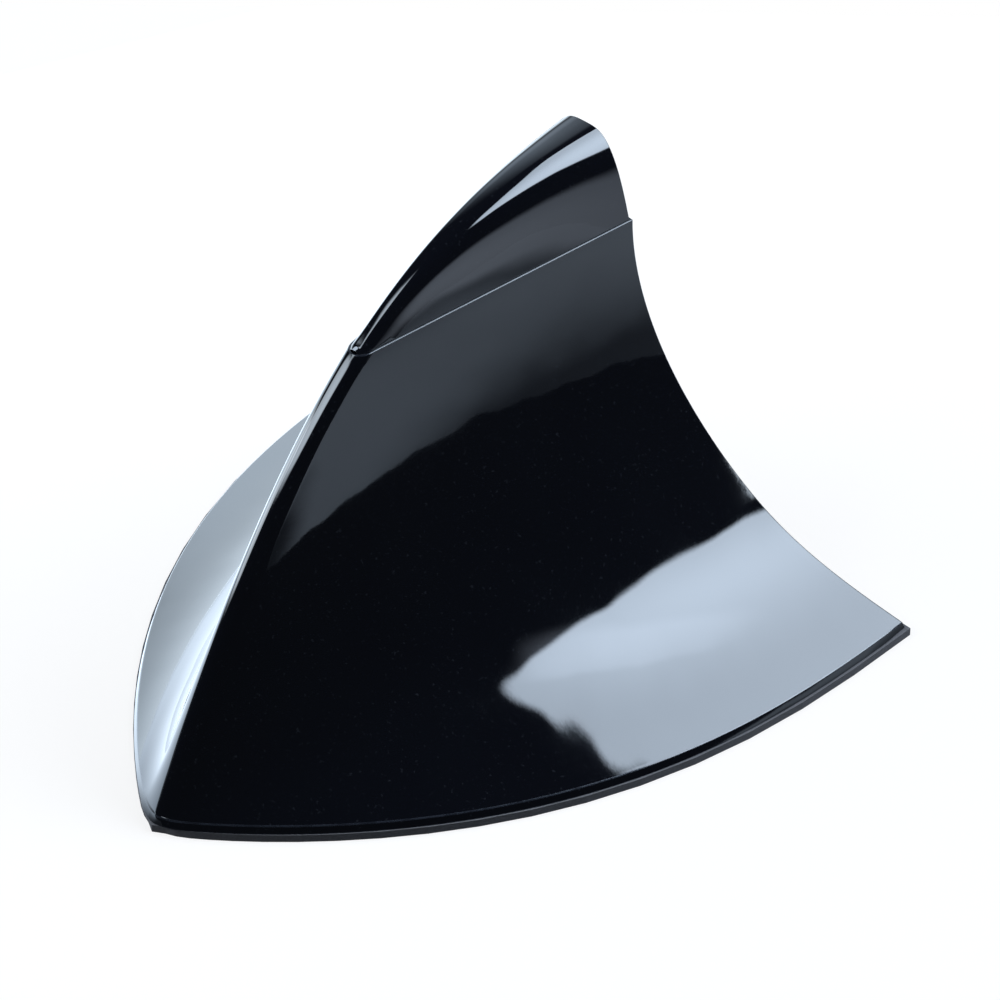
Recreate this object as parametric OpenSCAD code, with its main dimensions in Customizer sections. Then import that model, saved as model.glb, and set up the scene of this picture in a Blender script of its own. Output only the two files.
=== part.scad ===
// Shark fin roof aerial: a moulded fin in two shells over a coil aerial on a base plate.
// Nose towards -X, tail towards +X, Z up, origin under the middle of the base.

/* [Base outline] */
// Length of the foam gasket, from its nose to the middle of its tail
base_l = 100.2; // [90:0.2:115]
// Width of the foam gasket at its widest
base_w = 94.6; // [84:0.2:105]
// Thickness of the foam gasket under the fin
gasket_t = 1.2; // [0.8:0.1:2.5]
// How far the gasket stands out past the shell
gasket_lip = 0.3; // [0.1:0.1:1]
// How far the tail of the base bows out behind its corners
tail_bow = 1.5; // [0.5:0.1:3]
// Height of the rim at the foot of the shell
rim_h = 1.1; // [0.6:0.1:2]
// How far the rim's lower edge stands out past its upper edge
rim_lean = 0.5; // [0.3:0.1:0.7]

/* [Crest of the fin] */
// Distance of the fin's tip behind the nose of the gasket
tip_d = 81.6; // [76:0.1:82]
// Height of the fin's tip
tip_z = 70.8; // [66:0.1:78]
// Slope of the crest where it leaves the nose, in degrees
nose_slope = 63; // [58:0.5:65]
// Pull of the crest curve at the nose
nose_pull = 62.4; // [55:0.2:66]
// Slope of the crest at the tip, in degrees
tip_slope = 1.4; // [0:0.1:4]
// Pull of the crest curve at the tip
tip_pull = 33.4; // [30:0.2:38]
// Radius of the crest at the nose
nose_r = 1.2; // [0.8:0.1:1.6]
// Radius of the crest where the two shells meet
split_r = 1.5; // [1:0.1:2]

/* [Tail edges] */
// Distance of the tail behind the nose at the parting line
tail_top_d = 83.8; // [82:0.1:88]
// How sharply the tail sweeps back towards the base
tail_sweep = 1.78; // [1.4:0.02:2.2]
// Half width of the tail at the parting line
tail_half = 8.5; // [8:0.1:10]
// Half width that the flanks gain in their long flare
flare_half = 24.1; // [20:0.1:26]
// How quickly the long flare grows towards the base
flare_power = 1.89; // [1.6:0.01:2.2]
// How quickly the short skirt flare grows near the rim
skirt_power = 15; // [10:0.5:18]

/* [Flanks] */
// Fullness of the outline at the base, 1 is a straight wedge
base_fullness = 2.64; // [2.2:0.02:3]
// Bluntness of the nose of the outline, 1 is sharp
nose_blunt = 0.92; // [0.85:0.01:1]
// How quickly the full outline turns to a wedge with height
wedge_power = 1.5; // [1:0.1:2]

/* [Shells] */
// Height of the parting line at the crest
split_front_z = 56.9; // [56:0.1:58]
// Height of the parting line at the tail
split_rear_z = 58.8; // [58:0.1:60]
// Wall of the lower shell
shell_wall = 2; // [1.6:0.1:2.2]
// Wall of the cap
cap_wall = 2; // [1.7:0.1:2.2]
// How far the cap is set in from the lower shell
cap_inset = 0.3; // [0.2:0.1:0.8]
// Inward lean of the cap's sides, as a share of its width
cap_taper = 0.2; // [0.1:0.01:0.3]
// Squareness of the cap's arch, 2 is an ellipse
cap_square = 2.6; // [2.2:0.1:3]
// Half width of the narrow front edge inside the shell
core_half = 0.5; // [0.4:0.1:0.7]
// Depth of the cap's tongue in the lower shell
tongue_depth = 2.4; // [1.5:0.1:3]
// Thickness of the cap's tongue
tongue_t = 1.2; // [0.9:0.1:1.4]
// Height of the tongue's root in the cap
tongue_root = 1.4; // [1:0.1:2]
// Length of the cap's tongue, from the tail forwards
tongue_l = 12; // [8:0.5:13]

/* [Base plate] */
// Thickness of the base plate
plate_t = 3; // [2.6:0.1:3.6]
// Gap between fitted pieces
fit = 0.25; // [0.15:0.05:0.3]
// Width of the gasket that reaches under the base plate
gasket_hold = 4; // [3:0.2:6]
// Thickness of the ground plate's sheet
ground_t = 0.5; // [0.4:0.1:0.8]
// Width of the ground plate
ground_w = 31; // [28:0.5:32]
// How far the ground plate reaches out in front of the board
ground_lead = 1; // [0.5:0.1:1.5]
// How far the ground plate reaches out behind the board
ground_trail = 0.5; // [0.2:0.1:2]

/* [Cable grommet] */
// Distance of the grommet behind the nose, as a share of the tail's at the parting line
grommet_share = 0.364; // [0.35:0.002:0.37]
// Bore of the grommet, which takes the lead
grommet_bore = 5; // [4:0.1:6]
// Diameter of the grommet's neck in the base plate
grommet_neck = 11; // [10:0.1:12]
// Diameter of the grommet's flanges
grommet_flange = 15; // [13.5:0.1:15.5]
// Thickness of each flange
grommet_flange_t = 1; // [0.7:0.1:1.1]
// Height of the grommet's sleeve over its upper flange
grommet_sleeve = 4; // [2:0.1:5]
// Wall of the sleeve at its end
sleeve_wall = 1.2; // [1:0.1:1.5]
// Wall of the sleeve at its foot
sleeve_foot = 2; // [1.6:0.1:2.4]

/* [Board] */
// Length of the board, as a share of the tail's distance at the parting line
board_share = 0.47; // [0.46:0.002:0.475]
// Width of the board
board_w = 24; // [23:0.5:26]
// Thickness of the board
board_t = 1.6; // [1:0.1:2]
// Distance of the board's rear edge in front of the roof's rear end
board_back = 0.5; // [0.3:0.1:0.8]
// Height of the posts that carry the board
post_h = 4.5; // [4:0.1:5.5]
// Diameter of the posts that carry the board
post_dia = 5.5; // [4.5:0.1:5.5]
// Distance of the board's screws from its edges
board_screw_edge = 3; // [2.8:0.1:3.4]

/* [Parts on the board] */
// Width of the shield can
can_w = 16; // [14:0.5:17]
// Height of the shield can
can_h = 4.5; // [3:0.1:6]
// Gap between the socket's foot and the can
can_gap = 0.9; // [0.7:0.1:1.2]
// Gap between the can and the carrier's upright
can_rear_gap = 2.3; // [2:0.1:3]
// Diameter of the vents in the can's roof
vent_dia = 1.4; // [1:0.1:1.8]
// Side of the amplifier chip
chip_side = 5; // [4:0.1:6]
// Distance of the socket's foot from the front edge of the board
socket_edge = 0.6; // [0.3:0.1:0.8]
// Side of the socket's square foot
socket_side = 6; // [5.5:0.1:6.2]
// Thickness of the socket's foot
socket_base_t = 1.5; // [1:0.1:2]
// Diameter of the socket's barrel
socket_dia = 5; // [4.8:0.1:5.4]
// Height of the socket's barrel over its foot
socket_h = 6; // [5:0.1:7]
// Bore of the socket's barrel
socket_bore = 3.9; // [3.6:0.1:4.1]
// Diameter of the socket's contact pin
contact_dia = 0.9; // [0.7:0.05:1.1]
// Length of the earth spring
spring_l = 6; // [5:0.1:7]
// Width of the earth spring
spring_w = 3; // [2.5:0.1:4]

/* [Coil] */
// Distance of the coil's axis in front of the roof's rear end
coil_back = 5.8; // [5.4:0.1:6.2]
// Radius of the coil to the middle of its wire
coil_r = 3.1; // [3:0.05:3.3]
// Diameter of the coil's wire
wire_dia = 0.9; // [0.6:0.05:1]
// Number of turns of the coil
coil_turns = 10; // [6:1:12]
// Diameter of the cross-shaped former in the coil
former_dia = 4.8; // [4:0.1:4.9]
// Thickness of the former's ribs
former_rib = 1.6; // [1.2:0.1:2]
// Height of the first turn over the board
coil_lift = 3; // [2:0.1:6]
// Distance of the last turn below the beam
coil_drop = 8; // [7.5:0.1:10]

/* [Folded roof] */
// Gap between the front end of the folded roof and the ceiling of the cap
roof_gap = 3.2; // [3:0.1:3.6]
// Length of the folded roof, as a share of the tail's distance at the parting line
roof_share = 0.179; // [0.16:0.001:0.182]
// Depth of the roof's legs
roof_leg = 5.8; // [5:0.1:6]
// Thickness of the aerial's sheet metal
sheet_t = 0.4; // [0.3:0.05:0.5]
// Length of the tab that takes the coil's upper end
tab_l = 3; // [2:0.1:3.4]
// Length of the damper on the roof
damper_l = 9; // [7:0.5:10]
// Width of the damper
damper_w = 2; // [1.5:0.1:2.4]
// Gap between the damper and the ceiling of the cap
damper_gap = 0.35; // [0.3:0.05:0.6]

/* [Carrier] */
// Thickness of the moulded carrier
carrier_t = 2.2; // [1.8:0.1:2.2]
// Distance of the carrier's upright behind the nose, as a share of the tail's
upright_share = 0.7136; // [0.712:0.0004:0.715]
// Length of the carrier's upright, as a share of the tail's distance
upright_l_share = 0.0835; // [0.07:0.0005:0.086]
// Diameter of the boss for the carrier's screw
carrier_boss_dia = 6; // [5:0.1:6.5]
// Width of the carrier's foot
carrier_foot_w = 10; // [8:0.1:11]
// Thickness of the carrier's foot
carrier_foot_t = 2; // [1.5:0.1:2.5]

/* [Screws] */
// Shank diameter of the base screws
base_screw_dia = 3; // [2.5:0.1:3.2]
// Length of the base screws
base_screw_l = 8; // [7:0.5:9]
// Diameter of the shell's screw bosses
boss_dia = 6.4; // [6:0.1:7]
// Gap between the middle bosses and the ground plate
boss_gap = 0.8; // [0.5:0.1:1.2]
// Distance of the front base screw behind the nose, as a share of the grommet's
front_screw_share = 0.52; // [0.5:0.005:0.54]
// Distance of the middle base screws to the side, as a share of the base's width
mid_spread = 0.132; // [0.128:0.001:0.136]
// Distance of the rear base screws to the side, as a share of the base's width
rear_spread = 0.243; // [0.235:0.001:0.25]
// Distance of the rear base screws behind the nose, as a share of the base's length
rear_screw_share = 0.8; // [0.79:0.002:0.81]
// Shank diameter of the board screws
board_screw_dia = 2.2; // [2:0.1:2.5]
// Shank diameter of the carrier's screw
carrier_screw_dia = 2.5; // [2.2:0.1:2.8]

/* [Hidden] */

nose_x = -base_l / 2;
rim_z = gasket_t + rim_h;
shell_nose_d = gasket_lip + rim_lean;
tail_base_d = base_l - tail_bow - gasket_lip - rim_lean;
base_half = base_w / 2 - gasket_lip - rim_lean;
plate_z = gasket_t + plate_t;
ground_z = plate_z + ground_t;
board_z = plate_z + post_h;
board_top = board_z + board_t;
tongue_rear_d = tail_top_d - 1.15 * shell_wall - fit;
roof_rear_d = tongue_rear_d - tongue_t - fit;
roof_l = roof_share * tail_top_d;
coil_d = roof_rear_d - coil_back;
carrier_half = carrier_t / 2;
upright_d = upright_share * tail_top_d;
upright_l = upright_l_share * tail_top_d;
carrier_screw_d = upright_d - carrier_boss_dia / 2 - 2 * fit;
board_l = board_share * tail_top_d;
board_end_d = roof_rear_d - board_back;
board_d = board_end_d - board_l;
ground_l = ground_lead + board_l + ground_trail;
grommet_d = grommet_share * tail_top_d;
mid_screw_d = board_d - ground_lead - boss_gap - boss_dia / 2;
flank_points = 20;
tail_points = 5;
levels = 16;
arch_points = 16;
cap_sections = 14;
slope_step = 0.004;

// Screws through the base plate, as distance behind the nose and distance to the side
base_screw_places = [[front_screw_share * grommet_d, 0],
    [mid_screw_d, mid_spread * base_w], [mid_screw_d, -mid_spread * base_w],
    [rear_screw_share * base_l, rear_spread * base_w],
    [rear_screw_share * base_l, -rear_spread * base_w]];
// Height that a boss may reach before the skin of the shell ends it
boss_reach = 20;
// Depth that a screw's hole has past the screw's end
bore_spare = 0.5;
// Slack round a screw's shank, a pin or an insulator in its bore
slack = 0.1;
// Height of a solder joint
solder_t = 0.05;

function mix(a, b, t) = a + (b - a) * t;
function clamp01(t) = min(1, max(0, t));
function at(d, y = 0, z = 0) = [nose_x + d, y, z];

// Crest of the fin as a cubic curve in distance behind the nose and height
crest_a = [shell_nose_d, rim_z];
crest_d = [tip_d, tip_z];
crest_b = crest_a + nose_pull * [cos(nose_slope), sin(nose_slope)];
crest_c = crest_d - tip_pull * [cos(tip_slope), sin(tip_slope)];
function crest(t) = pow(1 - t, 3) * crest_a + 3 * t * pow(1 - t, 2) * crest_b
    + 3 * t * t * (1 - t) * crest_c + pow(t, 3) * crest_d;
// Place along the crest that has height z, by halving the stretch that holds it
function crest_t(z, low = 0, high = 1, turns = 24) =
    turns == 0 ? (low + high) / 2
    : crest((low + high) / 2)[1] < z ? crest_t(z, (low + high) / 2, high, turns - 1)
    : crest_t(z, low, (low + high) / 2, turns - 1);
split_t = crest_t(split_front_z);
split_d = crest(split_t)[0];

// Level h of the lower shell runs from 0 at the rim to 1 at the parting line. It holds the crest's
// place and height, the tail's place, height and half width, and the outline's fullness and radius.
function level(h) =
    let (zc = mix(rim_z, split_front_z, h), zr = mix(rim_z, split_rear_z, h),
        full = pow(1 - h, wedge_power), skirt = base_half - tail_half - flare_half)
    [crest(crest_t(zc))[0], zc,
        mix(tail_top_d, tail_base_d, pow(1 - h, tail_sweep)), zr,
        tail_half + flare_half * pow(1 - h, flare_power) + skirt * pow(1 - h, skirt_power),
        mix(1, base_fullness, full), mix(1, nose_blunt, full), mix(nose_r, split_r, h)];

// Half width of the fin at distance d in level v: a wedge that fills out, on a round crest
function half(d, v) =
    let (u = clamp01((d - v[0]) / (v[2] - v[0])), q = clamp01((d - v[0]) / (1.2 * v[7])))
    (v[4] - v[7]) * pow(1 - pow(1 - u, v[5]), v[6]) + v[7] * sqrt(max(0, 1 - pow(1 - q, 2)));

// How much longer a level cut through the wall is than the wall is thick
function wall_stretch(d, h) =
    let (low = max(0, h - slope_step), high = min(1, h + slope_step),
        a = level(low), b = level(high), rise = (b[1] - a[1] + b[3] - a[3]) / 2,
        v = level(h), side = (half(d, b) - half(d, a)) / rise,
        along = (half(d + 0.2, v) - half(d - 0.2, v)) / 0.4)
    sqrt(1 + side * side + along * along);

// Closed ring of a level, outside when w is 0, or drawn in by a wall of thickness w and a gap
function ring(h, w = 0, gap = 0) =
    let (v = level(h), first = v[0] + 1.25 * w + 2 * gap, last = v[2] - 1.15 * w - gap,
        flank = [for (i = [0:flank_points - 1])
            let (d = mix(first, last, pow(i / (flank_points - 1), 2.2)),
                y = w == 0 ? half(d, v) : half(d, v) - w * wall_stretch(d, h) - gap,
                z = mix(v[1], v[3], (d - v[0]) / (v[2] - v[0])))
            [d, i == 0 ? 0 : max(w == 0 ? 0 : core_half, y), z]],
        end = flank[flank_points - 1])
    [for (p = flank) at(p[0], -p[1], p[2]),
        for (i = [1:tail_points])
            let (s = 2 * i / (tail_points + 1) - 1)
            at(end[0] + tail_bow * (1 - 0.6 * h) * (1 - s * s), s * end[1], end[2]),
        for (i = [flank_points - 1:-1:1]) at(flank[i][0], flank[i][1], flank[i][2])];

ring_size = 2 * flank_points + tail_points - 1;
function flat(points) = [for (p = points) [p[0], p[1]]];
// Ring moved to height z
function lay(points, z) = [for (p = points) [p[0], p[1], z]];
// Outline of the rim's upper edge, grown by g on all sides
function foot(g) =
    let (p = ring(0), back = nose_x + tail_base_d)
    [for (i = [0:ring_size - 1])
        let (x = p[i][0], y = p[i][1], tail = x > back - 0.001, nose = i == 0)
        [x + (tail ? g : nose ? -g : 0), y + (nose ? 0 : tail ? g * y / base_half : g * sign(y))]];

// Triangles of a closed tube of rings, each ring joined to the next and the last to the first
function tube_faces(rings, size) =
    [for (k = [0:rings - 1], i = [0:size - 1])
        let (a = k * size, b = ((k + 1) % rings) * size, j = (i + 1) % size)
        each [[a + i, b + i, b + j], [a + i, b + j, a + j]]];

heights = [for (i = [0:levels]) pow(i / levels, 1.5)];
// The inner skin ends level with the underside, where the wall's slope has carried it outwards
function inner_foot() =
    let (a = ring(0, shell_wall), b = ring(heights[1], shell_wall),
        f = (rim_z - gasket_t) / (b[0][2] - a[0][2]))
    [for (i = [0:ring_size - 1]) [mix(a[i][0], b[i][0], -f), mix(a[i][1], b[i][1], -f), gasket_t]];

outer_rings = [lay(foot(rim_lean), gasket_t), for (h = heights) ring(h)];
inner_rings = [for (i = [levels:-1:0]) ring(heights[i], shell_wall), inner_foot()];

module outer_solid() {
    top = len(outer_rings) * ring_size;
    polyhedron(points = [for (r = outer_rings) each r], faces = [
        for (f = tube_faces(len(outer_rings), ring_size)) if (max(f) - min(f) < 2 * ring_size) f,
        [for (i = [0:ring_size - 1]) i],
        [for (i = [ring_size - 1:-1:0]) top - ring_size + i]]);
}

module shell_skin() {
    rings = [each outer_rings, each inner_rings];
    polyhedron(points = [for (r = rings) each r], faces = tube_faces(len(rings), ring_size));
}

module base_screw_bosses() {
    intersection() {
        for (p = base_screw_places)
            translate(at(p[0], p[1], plate_z)) cylinder(d = boss_dia, h = boss_reach);
        outer_solid();
    }
}

module lower_shell() color("#0b0d14") {
    difference() {
        union() {
            shell_skin();
            base_screw_bosses();
        }
        for (p = base_screw_places) translate(at(p[0], p[1], plate_z - 1))
            cylinder(d = base_screw_dia, h = base_screw_l - plate_t + 1 + bore_spare);
    }
}

// The cap is a row of arches over the parting line, drawn in by a wall of thickness w
cap_tail_d = tail_top_d - cap_inset;
top_level = level(1);
function split_z(d) = mix(split_front_z, split_rear_z, (d - split_d) / (tail_top_d - split_d));
function cap_arch(k, w) =
    let (t = mix(split_t, 1, pow(k / cap_sections, 1.6)), p = crest(t),
        share = (p[0] - split_d) / (tip_d - split_d),
        d = mix(split_d + cap_inset + 2.4 * w, cap_tail_d - w, share),
        foot_z = split_z(d),
        outer_half = half(d, top_level) - cap_inset,
        side = max(outer_half - w, w == 0 ? 0.4 : core_half),
        rise = max(crest_over(d) - foot_z - w, 0.4))
    [for (i = [0:arch_points])
        let (a = 180 * i / arch_points, v = pow(abs(sin(a)), 2 / cap_square),
            c = sign(cos(a)) * pow(abs(cos(a)), 2 / cap_square))
        at(d, -side * c * (1 - cap_taper * v), foot_z + rise * v)];
// Height of the cap's crest at distance d: the fin's crest, set in at both ends
function crest_over(d) =
    let (share = clamp01((d - split_d - cap_inset) / (cap_tail_d - split_d - cap_inset)))
    crest(crest_place(mix(split_d, tip_d, share)))[1];
function crest_place(d, low = 0, high = 1, turns = 24) =
    turns == 0 ? (low + high) / 2
    : crest((low + high) / 2)[0] < d ? crest_place(d, (low + high) / 2, high, turns - 1)
    : crest_place(d, low, (low + high) / 2, turns - 1);

// Heights of the folded roof under the cap's ceiling, and of the carrier's beam
roof_z = crest_over(roof_rear_d - roof_l) - cap_wall - roof_gap - sheet_t;
roof_top = roof_z + sheet_t;
beam_z = roof_z - roof_leg - sheet_t;

// Solid of the arches. A drop carries its foot down, so that what it cuts is open below.
module cap_loft(w, drop = 0) {
    size = arch_points + 1;
    arches = [for (k = [0:cap_sections]) cap_arch(k, w)];
    loops = [for (a = arches) drop == 0 ? a
        : [a[0] - [0, 0, drop], for (i = [1:size - 2]) a[i], a[size - 1] - [0, 0, drop]]];
    last = cap_sections * size;
    polyhedron(points = [for (a = loops) each a], faces = [
        for (k = [0:cap_sections - 1], i = [0:size - 1])
            let (a = k * size, b = a + size, j = (i + 1) % size)
            each [[a + i, b + j, b + i], [a + i, a + j, b + j]],
        [for (i = [size - 1:-1:0]) i],
        [for (i = [0:size - 1]) last + i]]);
}

// Tongue of the cap, which stands in the mouth of the lower shell round its tail
module tongue() {
    first = tail_top_d - tongue_l;
    tilt = atan((split_rear_z - split_front_z) / (tail_top_d - split_d));
    mouth = [for (i = [0:6]) let (d = mix(first, tongue_rear_d, i / 6))
        [d - first, half(d, top_level) - shell_wall * wall_stretch(d, 1) - fit]];
    translate(at(first, 0, split_z(first))) rotate([0, -tilt, 0]) translate([0, 0, -tongue_depth])
        linear_extrude(tongue_depth + tongue_root) difference() {
            polygon([for (p = mouth) [p[0], -p[1]], for (i = [6:-1:0]) [mouth[i][0], mouth[i][1]]]);
            polygon([for (p = mouth) [p[0] - tongue_t, tongue_t - p[1]],
                for (i = [6:-1:0]) [mouth[i][0] - tongue_t, mouth[i][1] - tongue_t]]);
        }
}

module top_cap() color("#0d0f17") {
    difference() {
        cap_loft(0);
        cap_loft(cap_wall, 1);
    }
    tongue();
}

// The plate fills the shell's foot, and the gasket and the pad lie under it
plate_h = (plate_z - rim_z) / (split_front_z - rim_z);
function plate_outline(gap) = flat(ring(plate_h, shell_wall, gap));

module base_gasket() color("#2b2c30") linear_extrude(gasket_t) difference() {
    polygon(foot(rim_lean + gasket_lip));
    polygon(plate_outline(fit + gasket_hold));
}

// The pad lies behind the grommet
module adhesive_pad() color("#3a3b3f") linear_extrude(gasket_t) difference() {
    polygon(plate_outline(2 * fit + gasket_hold));
    translate([nose_x + grommet_d - base_l, -base_w / 2]) square([base_l, base_w]);
    translate([nose_x + grommet_d, 0]) circle(d = grommet_flange + 2 * fit);
}

module countersink(place) {
    translate(at(place[0], place[1], gasket_t - 0.01)) {
        cylinder(d = base_screw_dia + 2 * fit, h = plate_t + 1);
        cylinder(d1 = 2 * base_screw_dia, d2 = base_screw_dia + 2 * fit, h = base_screw_dia / 2);
    }
}

function board_corner(i) = [board_d + (i % 2 == 0 ? board_screw_edge : board_l - board_screw_edge),
    (i < 2 ? 1 : -1) * (board_w / 2 - board_screw_edge)];

module base_plate() color("#26272b") difference() {
    union() {
        translate([0, 0, gasket_t]) linear_extrude(plate_t) polygon(plate_outline(fit));
        for (i = [0:3]) translate(at(board_corner(i)[0], board_corner(i)[1], plate_z - 0.5))
            cylinder(d = post_dia, h = post_h + 0.5);
    }
    for (p = base_screw_places) countersink(p);
    countersink([carrier_screw_d, 0]);
    translate(at(grommet_d, 0, gasket_t - 1)) cylinder(d = grommet_neck, h = plate_t + 2);
    for (i = [0:3]) translate(at(board_corner(i)[0], board_corner(i)[1], plate_z - 1))
        cylinder(d = board_screw_dia, h = post_h + 2);
}

module ground_plate() color("#b9bcc0") translate([0, 0, plate_z]) linear_extrude(ground_t) difference() {
    translate([nose_x + board_d - ground_lead, -ground_w / 2]) square([ground_l, ground_w]);
    for (i = [0:3]) translate([nose_x + board_corner(i)[0], board_corner(i)[1]])
        circle(d = post_dia + 2 * fit);
    translate([nose_x + carrier_screw_d, 0]) circle(d = base_screw_dia + 2 * fit);
}

module cable_grommet() color("#1b1b1d") translate(at(grommet_d)) rotate_extrude() {
    flange_r = grommet_flange / 2;
    bore_r = grommet_bore / 2;
    top = plate_z + grommet_flange_t;
    polygon([[bore_r, gasket_t - grommet_flange_t], [flange_r, gasket_t - grommet_flange_t],
        [flange_r, gasket_t], [grommet_neck / 2, gasket_t], [grommet_neck / 2, plate_z],
        [flange_r, plate_z], [flange_r, top], [bore_r + sleeve_foot, top],
        [bore_r + sleeve_wall, top + grommet_sleeve], [bore_r, top + grommet_sleeve]]);
}

module circuit_board() color("#1f5a3a") translate([0, 0, board_z]) linear_extrude(board_t) difference() {
    translate([nose_x + board_d, -board_w / 2]) square([board_l, board_w]);
    for (i = [0:3]) translate([nose_x + board_corner(i)[0], board_corner(i)[1]])
        circle(d = board_screw_dia + 2 * fit);
    translate([nose_x + upright_d - fit, -carrier_half - fit])
        square([upright_l + 2 * fit, carrier_t + 2 * fit]);
}

// Shield can, folded from sheet, between the socket and the carrier's upright
socket_d = board_d + socket_edge + socket_side / 2;
can_d = socket_d + socket_side / 2 + can_gap;
can_l = upright_d - can_rear_gap - can_d;

module shield_can() color("#c4c6c8") translate(at(can_d, 0, board_top)) difference() {
    translate([0, -can_w / 2, 0]) cube([can_l, can_w, can_h]);
    translate([sheet_t, sheet_t - can_w / 2, -1])
        cube([can_l - 2 * sheet_t, can_w - 2 * sheet_t, can_h - sheet_t + 1]);
    for (i = [-2:2], j = [1:2])
        translate([j * can_l / 3, i * can_w / 6, can_h - 1]) cylinder(d = vent_dia, h = 2);
}

// Amplifier and its small parts: length, width and height as shares of the amplifier's side, then
// the place of their middle on the board, behind the nose and as a share of half the board's width
can_mid_d = can_d + can_l / 2;
last_part_d = board_end_d - board_screw_edge - board_screw_dia - chip_side / 2;
rear_part_d = last_part_d - chip_side;
chips = [[1, 1, 0.24, can_mid_d, 0], [0.4, 0.25, 0.18, can_mid_d, 0.43],
    [0.64, 0.32, 0.24, can_mid_d, -0.5], [0.64, 0.52, 0.36, rear_part_d, 0.6],
    [0.4, 0.25, 0.18, rear_part_d, -0.6], [0.64, 0.32, 0.2, last_part_d, -0.6],
    [0.7, 0.56, 0.4, last_part_d, 0.6]];

module amplifier_chips() color("#17181a") for (c = chips)
    translate(at(c[3] - c[0] * chip_side / 2, c[4] * board_w / 2 - c[1] * chip_side / 2, board_top))
        cube(chip_side * [c[0], c[1], c[2]]);

module coax_socket() color("#c9a24a") translate(at(socket_d, 0, board_top)) difference() {
    union() {
        translate([-socket_side / 2, -socket_side / 2, 0])
            cube([socket_side, socket_side, socket_base_t]);
        cylinder(d = socket_dia, h = socket_base_t + socket_h);
    }
    translate([0, 0, -1]) cylinder(d = socket_bore, h = socket_base_t + socket_h + 2);
}

module socket_insulator() color("#eceae4") translate(at(socket_d, 0, board_top)) difference() {
    cylinder(d = socket_bore - slack, h = socket_base_t + 0.5);
    translate([0, 0, -1]) cylinder(d = contact_dia + slack, h = socket_base_t + 3);
}

// Pin with a tapered point, which ends below the socket's mouth
module contact_pin() color("#d8b45a") translate(at(socket_d, 0, board_top)) {
    straight = socket_base_t + 0.8 * socket_h;
    cylinder(d = contact_dia, h = straight);
    translate([0, 0, straight]) cylinder(d1 = contact_dia, d2 = contact_dia / 2, h = contact_dia / 2);
}

// Sprung strip, folded back on itself, that earths the board to the ground plate
spring_d = board_d + board_l / 4;
spring_bend = 0.27 * spring_l;
spring_end = 0.83 * spring_l;
module earth_spring() color("#c8a860")
    translate(at(spring_d, ground_w / 4 + spring_w / 4, 0)) rotate([90, 0, 0]) mirror([0, 0, 1])
        linear_extrude(spring_w) polygon([[0, ground_z], [spring_l, ground_z],
            [spring_l, ground_z + sheet_t], [spring_bend, ground_z + sheet_t],
            [spring_end, board_z - sheet_t], [spring_l, board_z - sheet_t], [spring_l, board_z],
            [spring_l - spring_bend, board_z], [0, ground_z + sheet_t]]);

// Moulded carrier: a foot, an upright through the board and a beam that holds the roof
carrier_foot_d = carrier_screw_d - carrier_boss_dia / 2 - 2 * fit;
gusset = 0.3 * upright_l;
module carrier_profile() {
    polygon([[upright_d, ground_z + carrier_foot_t / 2],
        [upright_d + upright_l, ground_z + carrier_foot_t / 2],
        [upright_d + upright_l, beam_z - 2 * gusset], [upright_d + upright_l + gusset, beam_z],
        [roof_rear_d, beam_z], [roof_rear_d, roof_z], [roof_rear_d - roof_l, roof_z],
        [upright_d, beam_z - gusset / 2]]);
}

module element_carrier() color("#e4e2da") difference() {
    union() {
        translate(at(carrier_foot_d, -carrier_foot_w / 2, ground_z))
            cube([upright_d + upright_l + gusset - carrier_foot_d, carrier_foot_w, carrier_foot_t]);
        translate(at(carrier_screw_d, 0, ground_z))
            cylinder(d = carrier_boss_dia, h = board_z - ground_z - 2 * fit);
        translate(at(0, carrier_half, 0)) rotate([90, 0, 0]) linear_extrude(carrier_t)
            carrier_profile();
    }
    translate(at(carrier_screw_d, 0, ground_z - 1)) cylinder(d = carrier_screw_dia, h = post_h);
    for (i = [0:3])
        translate(at(upright_d + upright_l / 2, 0, mix(board_top, beam_z, (i + 0.5) / 4)))
            rotate([90, 0, 0]) cylinder(d = upright_l / 2, h = 2 * carrier_t, center = true);
}

module coil_former() color("#efece3") translate(at(coil_d, 0, board_top))
    linear_extrude(beam_z - sheet_t - board_top - 2 * slack) union() {
        square([former_dia, former_rib], center = true);
        square([former_rib, former_dia], center = true);
    }

// Coil: a lead up from the board, the turns, and a lead up to the roof's tab
coil_low = board_top + coil_lift;
coil_high = beam_z - coil_drop;
coil_steps = 14;
wire_sides = 6;
function coil_path() =
    let (n = coil_turns * coil_steps)
    [[coil_r, 0, board_top + solder_t], for (i = [0:n])
            let (a = 360 * i / coil_steps)
            [coil_r * cos(a), coil_r * sin(a), mix(coil_low, coil_high, i / n)],
        [coil_r, 0, beam_z - sheet_t - solder_t]];

function unit(v) = v / norm(v);
module wire(path, r, sides) {
    n = len(path);
    rings = [for (i = [0:n - 1])
        let (tangent = unit(path[min(n - 1, i + 1)] - path[max(0, i - 1)]),
            out = i == 0 || i == n - 1 ? [1, 0, 0] : unit([path[i][0], path[i][1], 0]),
            side = unit(cross(tangent, out)), up = cross(side, tangent))
        [for (k = [0:sides - 1]) let (a = 360 * k / sides) path[i] + r * (cos(a) * up + sin(a) * side)]];
    polyhedron(points = [for (q = rings) each q], faces = [
        for (i = [0:n - 2], k = [0:sides - 1])
            let (a = i * sides, b = a + sides, j = (k + 1) % sides)
            each [[a + k, b + k, b + j], [a + k, b + j, a + j]],
        [for (k = [0:sides - 1]) k],
        [for (k = [sides - 1:-1:0]) (n - 1) * sides + k]]);
}

module helix_coil() color("#b8733a") translate(at(coil_d)) wire(coil_path(), wire_dia / 2, wire_sides);

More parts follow.
